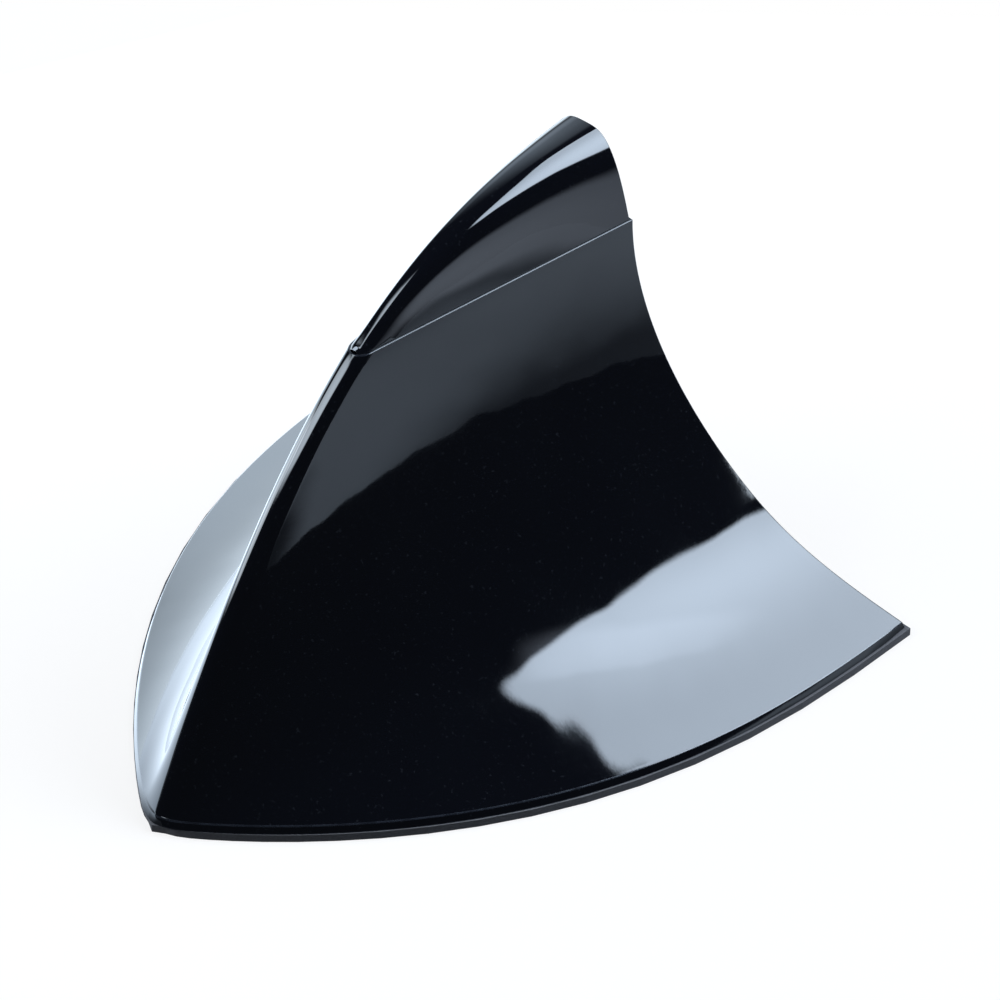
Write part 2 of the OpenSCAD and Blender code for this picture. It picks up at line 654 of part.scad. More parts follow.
// Roof: a channel folded over the beam, with a tab folded under it for the coil
roof_half = carrier_half + slack + sheet_t;
module folded_roof() color("#cfd1d3") {
    tab_d = coil_d + coil_r - tab_l / 2;
    translate(at(roof_rear_d - roof_l, -roof_half, roof_z)) cube([roof_l, 2 * roof_half, sheet_t]);
    for (side = [-roof_half, roof_half - sheet_t])
        translate(at(roof_rear_d - roof_l, side, roof_z - roof_leg))
            cube([roof_l, sheet_t, roof_leg + sheet_t]);
    translate(at(tab_d, roof_half - sheet_t, beam_z - sheet_t))
        cube([tab_l, sheet_t, roof_z - beam_z]);
    translate(at(tab_d, -roof_half, beam_z - sheet_t)) cube([tab_l, 2 * roof_half, sheet_t]);
}

// Foam strip between the roof and the ceiling of the cap, cut to the ceiling's curve
module damper_pad() color("#4a4b50") {
    front = roof_rear_d - damper_l - 1;
    translate([0, damper_w / 2, 0]) rotate([90, 0, 0]) linear_extrude(damper_w) polygon([
        [nose_x + front, roof_top], [nose_x + front + damper_l, roof_top],
        for (i = [4:-1:0]) let (d = front + damper_l * i / 4)
            [nose_x + d, crest_over(d) - cap_wall - damper_gap]]);
}

module countersunk_screw(place, length, dia) translate(at(place[0], place[1], gasket_t)) {
    cylinder(d = dia - slack, h = length);
    cylinder(d1 = 2 * base_screw_dia - 4 * slack, d2 = dia - slack, h = base_screw_dia / 2 - slack);
}

module base_screws() color("#8d9094")
    for (p = base_screw_places) countersunk_screw(p, base_screw_l, base_screw_dia);

module carrier_screw() color("#8d9094")
    countersunk_screw([carrier_screw_d, 0], plate_t + ground_t + 3, carrier_screw_dia);

// Screws through the board into its posts, each with a flat round head
module board_screws() color("#9da0a4") for (i = [0:3])
    translate(at(board_corner(i)[0], board_corner(i)[1], board_top)) {
        cylinder(d = 2 * board_screw_dia, h = 0.7 * board_screw_dia);
        translate([0, 0, 1 - board_t - post_h])
            cylinder(d = board_screw_dia - slack, h = board_t + post_h);
    }

lower_shell();
top_cap();
base_gasket();
adhesive_pad();
base_plate();
ground_plate();
cable_grommet();
circuit_board();
shield_can();
amplifier_chips();
coax_socket();
socket_insulator();
contact_pin();
earth_spring();
element_carrier();
coil_former();
helix_coil();
folded_roof();
damper_pad();
base_screws();
board_screws();
carrier_screw();
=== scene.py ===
# %% [markdown]
# Shark fin roof aerial
# The real object is a glossy black fin that is glued to a car's roof. It has two moulded shells, a
# foam gasket under the rim, and a radio aerial inside. The engineering model gives every piece and
# its place. This lesson loads it, remakes the two shells as smooth surfaces, gives every piece the
# finish of its real material, and lights it like a product photograph.

# %% Load the frame
import math
import bmesh
import bpy
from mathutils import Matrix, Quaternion, Vector


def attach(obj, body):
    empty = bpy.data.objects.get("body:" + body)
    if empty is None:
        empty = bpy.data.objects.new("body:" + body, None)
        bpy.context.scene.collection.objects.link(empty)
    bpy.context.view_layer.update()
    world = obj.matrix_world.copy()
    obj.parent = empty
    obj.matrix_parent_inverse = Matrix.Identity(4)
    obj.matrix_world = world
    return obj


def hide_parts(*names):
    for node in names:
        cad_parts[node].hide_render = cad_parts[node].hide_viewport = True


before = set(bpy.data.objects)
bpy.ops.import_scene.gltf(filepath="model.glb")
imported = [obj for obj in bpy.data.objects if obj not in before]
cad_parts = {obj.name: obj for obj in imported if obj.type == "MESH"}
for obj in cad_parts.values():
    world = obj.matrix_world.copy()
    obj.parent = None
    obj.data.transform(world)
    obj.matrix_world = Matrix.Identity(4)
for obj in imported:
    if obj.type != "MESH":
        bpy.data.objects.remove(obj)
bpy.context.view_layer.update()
mm = 0.001
print("nodes in the frame:", len(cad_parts))

# %% [markdown]
# The fin is described by a few sizes. They are the sizes of the moulded part itself, in millimetres,
# and the same curves make the surface here, so the smooth shells lie where the solid ones are. Only
# the cap's section differs a little: cap_taper and cap_square keep its outline, and put the
# reflections where the photograph has them.

# %% Sizes of the fin
base_l, base_w = 100.2, 94.6
gasket_t, gasket_lip, rim_h, rim_lean, tail_bow = 1.2, 0.3, 1.1, 0.5, 1.5
tip_d, tip_z = 81.6, 70.8
nose_slope, nose_pull, tip_slope, tip_pull = 63, 62.4, 1.4, 33.4
nose_r, split_r = 1.2, 1.5
tail_top_d, tail_sweep, tail_half = 83.8, 1.78, 8.5
flare_half, flare_power, skirt_power = 24.1, 1.89, 15
base_fullness, nose_blunt, wedge_power = 2.64, 0.92, 1.5
split_front_z, split_rear_z = 56.9, 58.8
shell_wall, cap_wall, cap_inset, cap_taper, cap_square, core_half = 2, 2, 0.3, 0.4, 3.5, 0.5
tongue_depth, tongue_t, tongue_l, fit = 2.4, 1.2, 12, 0.25
nose_x = -base_l / 2
rim_z = gasket_t + rim_h
lip = gasket_lip + rim_lean
tail_base_d = base_l - tail_bow - lip
base_half = base_w / 2 - lip
print("fin", base_l, "mm long,", base_w, "mm wide,", tip_z, "mm high")

# %% [markdown]
# The crest is one cubic curve from the nose to the tip. A level of the shell needs the place on it
# with a known height, and halving the stretch that holds it finds that place quickly.

# %% Crest curve
def mix(a, b, t):
    return a + (b - a) * t


def clamp01(t):
    return min(1.0, max(0.0, t))


def slope_vector(angle):
    return Vector((math.cos(math.radians(angle)), math.sin(math.radians(angle))))


crest_start, crest_end = Vector((lip, rim_z)), Vector((tip_d, tip_z))
crest_pull_a = crest_start + nose_pull * slope_vector(nose_slope)
crest_pull_b = crest_end - tip_pull * slope_vector(tip_slope)


def crest(t):
    """Distance behind the nose and height of the crest at t."""
    return ((1 - t) ** 3 * crest_start + 3 * t * (1 - t) ** 2 * crest_pull_a
            + 3 * t * t * (1 - t) * crest_pull_b + t ** 3 * crest_end)


def crest_at(value, axis):
    """The t at which the crest's distance (axis 0) or height (axis 1) has that value."""
    low, high = 0.0, 1.0
    for _ in range(40):
        middle = (low + high) / 2
        if crest(middle)[axis] < value:
            low = middle
        else:
            high = middle
    return low


split_t = crest_at(split_front_z, 1)
split_d = crest(split_t)[0]
print("the parting line meets the crest", round(split_d, 1), "mm behind the nose")

# %% [markdown]
# Each level of the lower shell is a leaf: a round crest, two flanks and a slightly bowed tail. Low
# down the leaf is full and flared, and at the parting line it is a slim wedge. Working the outline
# out from the level keeps the flank one smooth surface, as a polished mould makes it.

# %% Levels of the lower shell
def level(h):
    full = (1 - h) ** wedge_power
    skirt = base_half - tail_half - flare_half
    zc = mix(rim_z, split_front_z, h)
    return {"xc": crest(crest_at(zc, 1))[0], "zc": zc, "zr": mix(rim_z, split_rear_z, h),
            "xr": mix(tail_top_d, tail_base_d, (1 - h) ** tail_sweep),
            "yr": tail_half + flare_half * (1 - h) ** flare_power + skirt * (1 - h) ** skirt_power,
            "e": mix(1, base_fullness, full), "g": mix(1, nose_blunt, full),
            "r": mix(nose_r, split_r, h)}


def half(d, v):
    """Half width of the fin at distance d behind the nose, in level v."""
    u = clamp01((d - v["xc"]) / (v["xr"] - v["xc"]))
    q = clamp01((d - v["xc"]) / (1.2 * v["r"]))
    return ((v["yr"] - v["r"]) * (1 - (1 - u) ** v["e"]) ** v["g"]
            + v["r"] * math.sqrt(max(0.0, 1 - (1 - q) ** 2)))


def wall_stretch(d, h):
    """How much longer a level cut through the wall is than the wall is thick."""
    low, high, v = level(max(0, h - 0.004)), level(min(1, h + 0.004)), level(h)
    rise = (high["zc"] - low["zc"] + high["zr"] - low["zr"]) / 2
    side = (half(d, high) - half(d, low)) / rise
    along = (half(d + 0.2, v) - half(d - 0.2, v)) / 0.4
    return math.sqrt(1 + side * side + along * along)


flank_points, tail_points = 54, 7
# points crowd towards the nose, where the flank curves most
nose_crowding = 2.2
# how far the inner skin stays behind the crest and in front of the tail, in walls
crest_room, tail_room = 1.25, 1.15
# share of the tail's bow that is lost at the parting line
bow_loss = 0.6


def ring(h, wall=0.0):
    """Closed outline of a level as points in metres, drawn in by a wall where one is given."""
    v = level(h)
    first, last = v["xc"] + crest_room * wall, v["xr"] - tail_room * wall
    flank = []
    for i in range(flank_points):
        d = mix(first, last, (i / (flank_points - 1)) ** nose_crowding)
        y = half(d, v) if wall == 0 else max(core_half, half(d, v) - wall * wall_stretch(d, h))
        height = mix(v["zc"], v["zr"], (d - v["xc"]) / (v["xr"] - v["xc"]))
        flank.append((nose_x + d, 0.0 if i == 0 else y, height))
    end = flank[-1]
    spread = [2 * i / (tail_points + 1) - 1 for i in range(1, tail_points + 1)]
    tail = [(end[0] + tail_bow * (1 - bow_loss * h) * (1 - s * s), s * end[1], end[2]) for s in spread]
    near = [(x, -y, height) for x, y, height in flank]
    return [Vector(p) * mm for p in near + tail + flank[:0:-1]]


print("points in each level:", len(ring(0.5)))

# %% [markdown]
# A polished moulding shows every dent in its reflections, so the shell is not sculpted. One loop of
# vertices is extruded up from level to level, over the parting line, and down the inside, and
# bridging the last loop to the first closes the wall. The edges are then bevelled, because a sharp
# edge catches no light.

# %% Helpers for building a piece
def loop_of(bm, points):
    """A closed loop of new vertices and edges through the points."""
    verts = [bm.verts.new(p) for p in points]
    edges = [bm.edges.new((verts[i], verts[(i + 1) % len(verts)])) for i in range(len(verts))]
    return verts, edges


def extrude_loop(bm, verts, edges, points):
    """Extrudes a loop and puts the new one's vertices on the points, in the same order."""
    made = bmesh.ops.extrude_edge_only(bm, edges=edges)["geom"]
    new = {v for v in made if isinstance(v, bmesh.types.BMVert)}
    following = []
    for old, place in zip(verts, points):
        twin = next(e.other_vert(old) for e in old.link_edges if e.other_vert(old) in new)
        twin.co = place
        following.append(twin)
    count = len(following)
    closed = len(edges) == count
    pairs = range(count if closed else count - 1)
    return following, [bm.edges.get((following[i], following[(i + 1) % count])) for i in pairs]


def edges_along(verts, closed=True):
    """The edges that join neighbouring vertices of a loop or chain."""
    count = len(verts)
    pairs = range(count if closed else count - 1)
    found = []
    for i in pairs:
        a, b = verts[i], verts[(i + 1) % count]
        found += [e for e in a.link_edges if e.other_vert(a) is b]
    return found


def round_edges(bm, edges, radius, segments=3):
    """Bevels the edges, and marks the new faces for the material, which gives them wear and a painted
    highlight.
    """
    wear_and_highlight = bm.faces.layers.float.get("wear_and_highlight") or bm.faces.layers.float.new("wear_and_highlight")
    made = bmesh.ops.bevel(bm, geom=edges, offset=radius * mm, offset_type="OFFSET",
                           segments=segments, profile=0.5, affect="EDGES", clamp_overlap=True,
                           material=-1)
    for face in made["faces"]:
        face[wear_and_highlight] = 1.0


def piece(bm, name, node=None, smooth=True):
    """Turns a bmesh into an object that rides on the frame, and replaces a node if one is named."""
    bmesh.ops.recalc_face_normals(bm, faces=bm.faces)
    mesh = bpy.data.meshes.new(name)
    bm.to_mesh(mesh)
    bm.free()
    mesh.polygons.foreach_set("use_smooth", [smooth] * len(mesh.polygons))
    obj = bpy.data.objects.new(name, mesh)
    bpy.context.scene.collection.objects.link(obj)
    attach(obj, "root")
    if node:
        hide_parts(node)
    print(name, "has", len(mesh.vertices), "vertices")
    return obj


def keep_flats(obj):
    """Weights the normals by face size, so that flats stay flat beside small bevels."""
    change = obj.modifiers.new("weighted", "WEIGHTED_NORMAL")
    change.mode = "FACE_AREA"
    change.keep_sharp = False
    return obj


# %% Lower shell
outer_levels, inner_levels = 56, 18
# levels crowd towards the roof, where the skirt flares
level_crowding = 1.5
rim_round = 0.2
boss_dia = 6.4
# distance behind the nose, distance to the side, height of the top
boss_places = ((15.9, 0, 14), (34.9, 12.5, 11.2), (34.9, -12.5, 11.2), (80.2, 23, 11), (80.2, -23, 11))
plate_z = gasket_t + 3.0


def rim_foot():
    """Lower edge of the rim: the first level moved outwards and down to the gasket."""
    points = ring(0)
    moved = []
    for i, p in enumerate(points):
        along = points[(i + 1) % len(points)] - points[i - 1]
        out = Vector((along.y, -along.x, 0)).normalized() * rim_lean * mm
        moved.append(Vector((p.x + out.x, p.y + out.y, gasket_t * mm)))
    return moved


def inner_foot():
    """Where the inner skin reaches the underside, carried on along its slope."""
    a, b = ring(0, shell_wall), ring((1 / 16) ** level_crowding, shell_wall)
    t = -(rim_z - gasket_t) * mm / (b[0].z - a[0].z)
    return [Vector((mix(p.x, q.x, t), mix(p.y, q.y, t), gasket_t * mm)) for p, q in zip(a, b)]


def lower_shell():
    bm = bmesh.new()
    verts, edges = loop_of(bm, rim_foot())
    foot, loops = verts, {}
    for i in range(outer_levels + 1):
        verts, edges = extrude_loop(bm, verts, edges, ring((i / outer_levels) ** level_crowding))
        loops[i] = verts
    for i in range(inner_levels, -1, -1):
        inner = ring((i / inner_levels) ** level_crowding, shell_wall)
        verts, edges = extrude_loop(bm, verts, edges, inner)
    verts, edges = extrude_loop(bm, verts, edges, inner_foot())
    bmesh.ops.bridge_loops(bm, edges=edges + edges_along(foot))
    columns = []
    for corner in (flank_points - 1, flank_points + tail_points):
        columns += edges_along([foot[corner]] + [loops[i][corner] for i in loops], closed=False)
    round_edges(bm, edges_along(foot) + edges_along(loops[0]) + edges_along(loops[outer_levels])
                + columns, rim_round)
    for d, y, top in boss_places:
        made = bmesh.ops.create_cone(bm, cap_ends=True, segments=32, radius1=boss_dia / 2 * mm,
                                     radius2=boss_dia / 2 * mm, depth=(top - plate_z) * mm)
        middle = Vector((nose_x + d, y, (top + plate_z) / 2)) * mm
        bmesh.ops.translate(bm, verts=made["verts"], vec=middle)
    return keep_flats(piece(bm, "smooth_lower_shell", "lower_shell"))


shell = lower_shell()

# %% [markdown]
# The cap is a row of arches over the parting line. Each arch is the outside and the inside of the
# wall in one loop, and the loop is extruded from the crest to the tail. A flat panel closes the
# tail. A tongue under the panel stands in the mouth of the lower shell and holds the cap in place.
# The lower edges are bevelled too, and the bevel is one side of the dark groove at the parting line.

# %% Top cap
cap_tail_d = tail_top_d - cap_inset
top_level = level(1)
arch_points, cap_sections = 48, 44
arch_crowding, cap_round = 1.6, 0.25


def split_z(d):
    return mix(split_front_z, split_rear_z, (d - split_d) / (tail_top_d - split_d))


def crest_over(d):
    share = clamp01((d - split_d - cap_inset) / (cap_tail_d - split_d - cap_inset))
    return crest(crest_at(mix(split_d, tip_d, share), 0))[1]


def arch(k, wall):
    """Points of one arch in metres, from the near side over the crest to the far side."""
    t = mix(split_t, 1, (k / cap_sections) ** arch_crowding)
    share = (crest(t)[0] - split_d) / (tip_d - split_d)
    d = mix(split_d + cap_inset + 2.4 * wall, cap_tail_d - wall, share)
    side = max(half(d, top_level) - cap_inset - wall, 0.4 if wall == 0 else core_half)
    rise = max(crest_over(d) - split_z(d) - wall, 0.4)
    points = []
    for i in range(arch_points + 1):
        a = math.pi * i / arch_points
        v = abs(math.sin(a)) ** (2 / cap_square)
        c = math.copysign(abs(math.cos(a)) ** (2 / cap_square), math.cos(a))
        points.append(Vector((nose_x + d, -side * c * (1 - cap_taper * v), split_z(d) + rise * v)) * mm)
    return points


def top_cap():
    bm = bmesh.new()
    verts, edges = loop_of(bm, arch(0, 0) + arch(0, cap_wall)[::-1])
    bmesh.ops.contextual_create(bm, geom=verts)
    feet = []
    for k in range(1, cap_sections + 1):
        before = verts
        verts, edges = extrude_loop(bm, verts, edges, arch(k, 0) + arch(k, cap_wall)[::-1])
        if k > 2:
            feet += edges_along([before[0], verts[0]], closed=False)
            feet += edges_along([before[arch_points], verts[arch_points]], closed=False)
    outside, inside = verts[:arch_points + 1], verts[arch_points + 1:]
    bmesh.ops.contextual_create(bm, geom=outside)
    bmesh.ops.contextual_create(bm, geom=inside)
    bmesh.ops.contextual_create(bm, geom=[outside[0], outside[-1], inside[0], inside[-1]])
    round_edges(bm, edges_along(outside, closed=False) + feet, cap_round)
    add_tongue(bm)
    return keep_flats(piece(bm, "smooth_top_cap", "top_cap"))


def add_tongue(bm):
    first, last = tail_top_d - tongue_l, tail_top_d - tail_room * shell_wall - fit
    stations = [mix(first, last, i / 6) for i in range(7)]
    sides = [half(d, top_level) - shell_wall * wall_stretch(d, 1) - fit for d in stations]
    outer = [(d, y) for d, y in zip(stations, sides)]
    inner = [(d - tongue_t, y - tongue_t) for d, y in outer]
    inner[0] = (first, inner[0][1])
    outline = ([(d, -y) for d, y in outer] + outer[::-1] + inner + [(d, -y) for d, y in inner[::-1]])
    low = [Vector((nose_x + d, y, split_z(d) - tongue_depth)) * mm for d, y in outline]
    verts, edges = loop_of(bm, low)
    floor = bmesh.ops.contextual_create(bm, geom=verts)["faces"]
    made = bmesh.ops.extrude_face_region(bm, geom=floor)["geom"]
    up = [v for v in made if isinstance(v, bmesh.types.BMVert)]
    bmesh.ops.translate(bm, verts=up, vec=(0, 0, (tongue_depth + 1.4) * mm))


cap = top_cap()

# %% [markdown]
# Colours are chosen as sRGB hex values, because that is how a colour is read off a screen. The
# shader works in linear light, so one function turns them. A second small function adds a node with
# its settings and links, and every material below is made with these two.

# %% Helpers for materials
def linear(hex_colour):
    """Turns a hex colour such as "#10131c" into linear red, green, blue and alpha."""
    parts = [int(hex_colour[i:i + 2], 16) / 255 for i in (1, 3, 5)]
    return [c / 12.92 if c <= 0.04045 else ((c + 0.055) / 1.055) ** 2.4 for c in parts] + [1.0]


def add(tree, kind, links=None, **settings):
    """Adds a node, sets its properties or inputs by name, and links its inputs."""
    node = tree.nodes.new(kind)
    for name, value in settings.items():
        if hasattr(node, name):
            setattr(node, name, value)
        else:
            node.inputs[name.replace("_", " ")].default_value = value
    for name, source in (links or {}).items():
        tree.links.new(source, node.inputs[name])
    return node


def material(name):
    """A new material with its tree, its shader and a Texture Coordinate node."""
    made = bpy.data.materials.new(name)
    made.use_nodes = True
    tree = made.node_tree
    shader = tree.nodes["Principled BSDF"]
    place = add(tree, "ShaderNodeTexCoord").outputs["Object"]
    return made, tree, shader, place


def wear(obj, finish):
    obj.data.materials.clear()
    obj.data.materials.append(finish)


# %% [markdown]
# The shells are ABS in gloss black, from a polished mould and under a clear lacquer. The eye sees
# almost no colour of its own, only a blue cast, and sharp reflections that wander a little, because
# the skin shrinks unevenly as it cools. A slow, very low bump gives that, and a fine one gives the
# faint orange peel. Handling leaves a few specks, and it scuffs the edges first: round_edges marked
# the bevels, and the material makes those faces duller and greyer, which is partly wear and partly a
# painted highlight line along the edges.

# %% Gloss black ABS
def span(tree, value, low, high, to_low, to_high):
    """Maps a value from one range to another, with a smooth start and end."""
    node = add(tree, "ShaderNodeMapRange", {"Value": value}, interpolation_type="SMOOTHSTEP")
    for name, number in zip(("From Min", "From Max", "To Min", "To Max"), (low, high, to_low, to_high)):
        node.inputs[name].default_value = number
    return node.outputs["Result"]


# size of each pattern on the real skin, in millimetres
cloud_mm, scuff_mm, speck_mm = 14.3, 2.5, 0.526
sink_mm, peel_mm, smear_mm = 10.5, 0.714, 16.7
sink_depth_mm, peel_depth_mm = 0.1, 0.02


def noise(tree, place, size_mm, detail, roughness=0.5):
    """Noise whose lumps have a size in millimetres."""
    return add(tree, "ShaderNodeTexNoise", {"Vector": place}, Scale=1 / (size_mm * mm), Detail=detail,
               Roughness=roughness)


def gloss_abs(name, body, tint):
    """Black gloss: uneven colour, edges with wear and a painted highlight, specks, a wandering skin and
    a clear coat.
    """
    made, tree, shader, place = material(name)
    cloud = noise(tree, place, cloud_mm, 4.0)
    colour = add(tree, "ShaderNodeMix", {"Factor": cloud.outputs["Fac"]}, data_type="RGBA")
    colour.inputs["A"].default_value = linear(body)
    colour.inputs["B"].default_value = linear(tint)
    wear_and_highlight = add(tree, "ShaderNodeAttribute", attribute_name="wear_and_highlight").outputs["Fac"]
    scuff = span(tree, noise(tree, place, scuff_mm, 3.0).outputs["Fac"], 0.35, 0.6, 0.6, 1)
    scuff_and_highlight = add(tree, "ShaderNodeMath", {0: wear_and_highlight, 1: scuff}, operation="MULTIPLY")
    edge = add(tree, "ShaderNodeMix", {"Factor": scuff_and_highlight.outputs[0], "A": colour.outputs["Result"]},
               data_type="RGBA")
    # painted highlight, partly wear: the bevels get this greyer colour so that a light line runs along
    # the edges
    edge.inputs["B"].default_value = linear("#20242d")
    specks = span(tree, noise(tree, place, speck_mm, 1.0).outputs["Fac"], 0.66, 0.80, 0, 0.10)
    dusty = add(tree, "ShaderNodeMix", {"Factor": specks, "A": edge.outputs["Result"]},
                data_type="RGBA")
    dusty.inputs["B"].default_value = linear("#565c66")
    tree.links.new(dusty.outputs["Result"], shader.inputs["Base Color"])
    sink = noise(tree, place, sink_mm, 1.0)
    peel = noise(tree, place, peel_mm, 2.0)
    slow = add(tree, "ShaderNodeBump", {"Height": sink.outputs["Fac"]}, Strength=1.0,
               Distance=sink_depth_mm * mm)
    fine = add(tree, "ShaderNodeBump", Strength=0.05, Distance=peel_depth_mm * mm,
               links={"Height": peel.outputs["Fac"], "Normal": slow.outputs["Normal"]})
    tree.links.new(fine.outputs["Normal"], shader.inputs["Normal"])
    tree.links.new(fine.outputs["Normal"], shader.inputs["Coat Normal"])
    smear = noise(tree, place, smear_mm, 6.0, roughness=0.7)
    dull = span(tree, smear.outputs["Fac"], 0.35, 0.75, 0.03, 0.08)
    rough = add(tree, "ShaderNodeMath", {0: scuff_and_highlight.outputs[0], 2: dull}, operation="MULTIPLY_ADD")
    rough.inputs[1].default_value = 0.25
    tree.links.new(rough.outputs[0], shader.inputs["Roughness"])
    shader.inputs["IOR"].default_value = 1.6
    shader.inputs["Coat Weight"].default_value = 1.0
    shader.inputs["Coat IOR"].default_value = 1.5
    shader.inputs["Coat Roughness"].default_value = 0.03
    shader.inputs["Specular Tint"].default_value = linear("#e4f2ff")
    return made


wear(shell, gloss_abs("gloss_black_abs", "#03040a", "#06080f"))
wear(cap, gloss_abs("gloss_black_abs_cap", "#04050b", "#070911"))
print("materials so far:", len(bpy.data.materials))

# %% [markdown]
# The other pieces keep their engineering shape, which is already true, and need only a finish. A
# table gives each one a colour, a roughness, a metal or not, and the size of its grain.

# %% Finishes of the pieces inside
def grained(name, dark, light, roughness, metallic, grain_mm, relief_mm):
    """A plain finish with a grain of a real size: two close colours and a bump."""
    made, tree, shader, place = material(name)
    speck = add(tree, "ShaderNodeTexNoise", {"Vector": place}, Scale=1 / (grain_mm * mm), Detail=3.0)
    colour = add(tree, "ShaderNodeMix", {"Factor": speck.outputs["Fac"]}, data_type="RGBA")
    colour.inputs["A"].default_value = linear(dark)
    colour.inputs["B"].default_value = linear(light)
    tree.links.new(colour.outputs["Result"], shader.inputs["Base Color"])
    bump = add(tree, "ShaderNodeBump", {"Height": speck.outputs["Fac"]}, Strength=0.6,
               Distance=relief_mm * mm)
    tree.links.new(bump.outputs["Normal"], shader.inputs["Normal"])
    shader.inputs["Roughness"].default_value = roughness
    shader.inputs["Metallic"].default_value = metallic
    return made


finishes = {
    # name: dark, light, roughness, metallic, grain in mm, relief in mm
    "closed_cell_foam": ("#56575b", "#68696e", 0.9, 0, 0.35, 0.08),
    "textured_black_abs": ("#17181b", "#222327", 0.55, 0, 0.5, 0.02),
    "rolled_aluminium": ("#b4b7ba", "#c9cccf", 0.35, 1, 1.5, 0.005),
    "moulded_epdm_rubber": ("#131314", "#1d1d1f", 0.7, 0, 0.4, 0.02),
    "solder_mask_on_glass_epoxy": ("#14512f", "#1e6a40", 0.35, 0, 1.0, 0.01),
    "tinned_steel_sheet": ("#b5b8b9", "#cdd0d1", 0.3, 1, 1.0, 0.004),
    "moulded_epoxy": ("#141415", "#1c1c1e", 0.6, 0, 0.2, 0.01),
    "gold_plated_brass": ("#c89b3e", "#dcb45a", 0.25, 1, 0.8, 0.003),
    "natural_nylon": ("#dad7cc", "#e8e5db", 0.5, 0, 0.6, 0.01),
    "enamelled_copper": ("#9c4f22", "#b5622f", 0.25, 1, 0.8, 0.003),
    "zinc_plated_steel": ("#9a9ea2", "#b4b8bb", 0.35, 1, 0.6, 0.004),
}
made_finishes = {name: grained(name, *values) for name, values in finishes.items()}
wears = {
    "closed_cell_foam": ("base_gasket", "adhesive_pad", "damper_pad"),
    "textured_black_abs": ("base_plate",),
    "rolled_aluminium": ("ground_plate",),
    "moulded_epdm_rubber": ("cable_grommet",),
    "solder_mask_on_glass_epoxy": ("circuit_board",),
    "tinned_steel_sheet": ("shield_can", "folded_roof"),
    "moulded_epoxy": ("amplifier_chips",),
    "gold_plated_brass": ("coax_socket", "contact_pin", "earth_spring"),
    "natural_nylon": ("socket_insulator", "element_carrier", "coil_former"),
    "enamelled_copper": ("helix_coil",),
    "zinc_plated_steel": ("base_screws", "board_screws", "carrier_screw"),
}
for finish, nodes in wears.items():
    for name in nodes:
        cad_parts[name].data.materials.clear()
        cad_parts[name].data.materials.append(made_finishes[finish])
print("finished nodes:", sum(len(nodes) for nodes in wears.values()))

# %% [markdown]
# The photograph looks down on the nose and one flank, from about 0.7 m away with a long lens. The
# camera's place and the point that it looks at are written as real places.

# %% Camera
camera_place = Vector((-0.39949, -0.38725, 0.47086))
camera_target = Vector((0.0091, -0.0073, 0.0250))
focal_px, frame_px, sensor_mm = 5336, 1000, 36.0
camera_data = bpy.data.cameras.new("camera")
camera_data.sensor_width = sensor_mm
camera_data.lens = focal_px / frame_px * sensor_mm
camera_data.clip_end = 20
camera = bpy.data.objects.new("camera", camera_data)
camera.location = camera_place
camera.rotation_euler = (camera_target - camera_place).to_track_quat("-Z", "Y").to_euler()
bpy.context.scene.collection.objects.link(camera)
bpy.context.scene.camera = camera
print("lens", round(camera_data.lens, 1), "mm")

# %% [markdown]
# Black gloss is photographed by what it reflects. The fin stands on a sheet of white paper, and the
# grey on its upper flank is the paper's reflection. The camera sees the paper plain white. To light
# and reflections it is a grey with painted shade: its colour gets darker near the fin and again
# towards the far end, standing in for the lamps' light falling off, and the flank's grey stops there.

# %% White paper
def rectangle(name, centre, width, depth, turn):
    """A flat sheet on the floor, turned by an angle in degrees."""
    bm = bmesh.new()
    bmesh.ops.create_grid(bm, x_segments=1, y_segments=1, size=0.5)
    for v in bm.verts:
        x, y = v.co.x * width, v.co.y * depth
        c, s = math.cos(math.radians(turn)), math.sin(math.radians(turn))
        v.co = Vector((centre[0] + c * x - s * y, centre[1] + s * x + c * y, 0))
    mesh = bpy.data.meshes.new(name)
    bm.to_mesh(mesh)
    bm.free()
    sheet = bpy.data.objects.new(name, mesh)
    bpy.context.scene.collection.objects.link(sheet)
    return sheet


paper_turn, paper_middle, paper_size = -48.5, (0.052, 0.003), (0.48, 0.235)
# places along the paper, in metres, between which the painted shade near the fin gives way to grey, and
# the grey gives way to the painted shade at the far end
near_shade_span, far_shade_span = (0.064, 0.088), (0.105, 0.225)
# how much of the paper, as the camera sees it, is plain white whatever the light on it
plain_white = 0.8
paper = rectangle("white_paper", paper_middle, *paper_size, paper_turn)
sheet, tree, shader, place = material("white_paper")
rays = add(tree, "ShaderNodeLightPath")
seen = rays.outputs["Is Camera Ray"]
run = math.radians(paper_turn)
along = add(tree, "ShaderNodeVectorMath", {0: place}, operation="DOT_PRODUCT")
along.inputs[1].default_value = (math.cos(run), math.sin(run), 0)
near_painted_shade = span(tree, along.outputs["Value"], *near_shade_span, 1, 0)
far_painted_shade = span(tree, along.outputs["Value"], *far_shade_span, 0, 1)
painted_shade = add(tree, "ShaderNodeMath", {0: near_painted_shade, 1: far_painted_shade}, operation="MAXIMUM")
grey_with_painted_shade = add(tree, "ShaderNodeMix", {"Factor": painted_shade.outputs[0]}, data_type="RGBA")
grey_with_painted_shade.inputs["A"].default_value = linear("#a9abae")
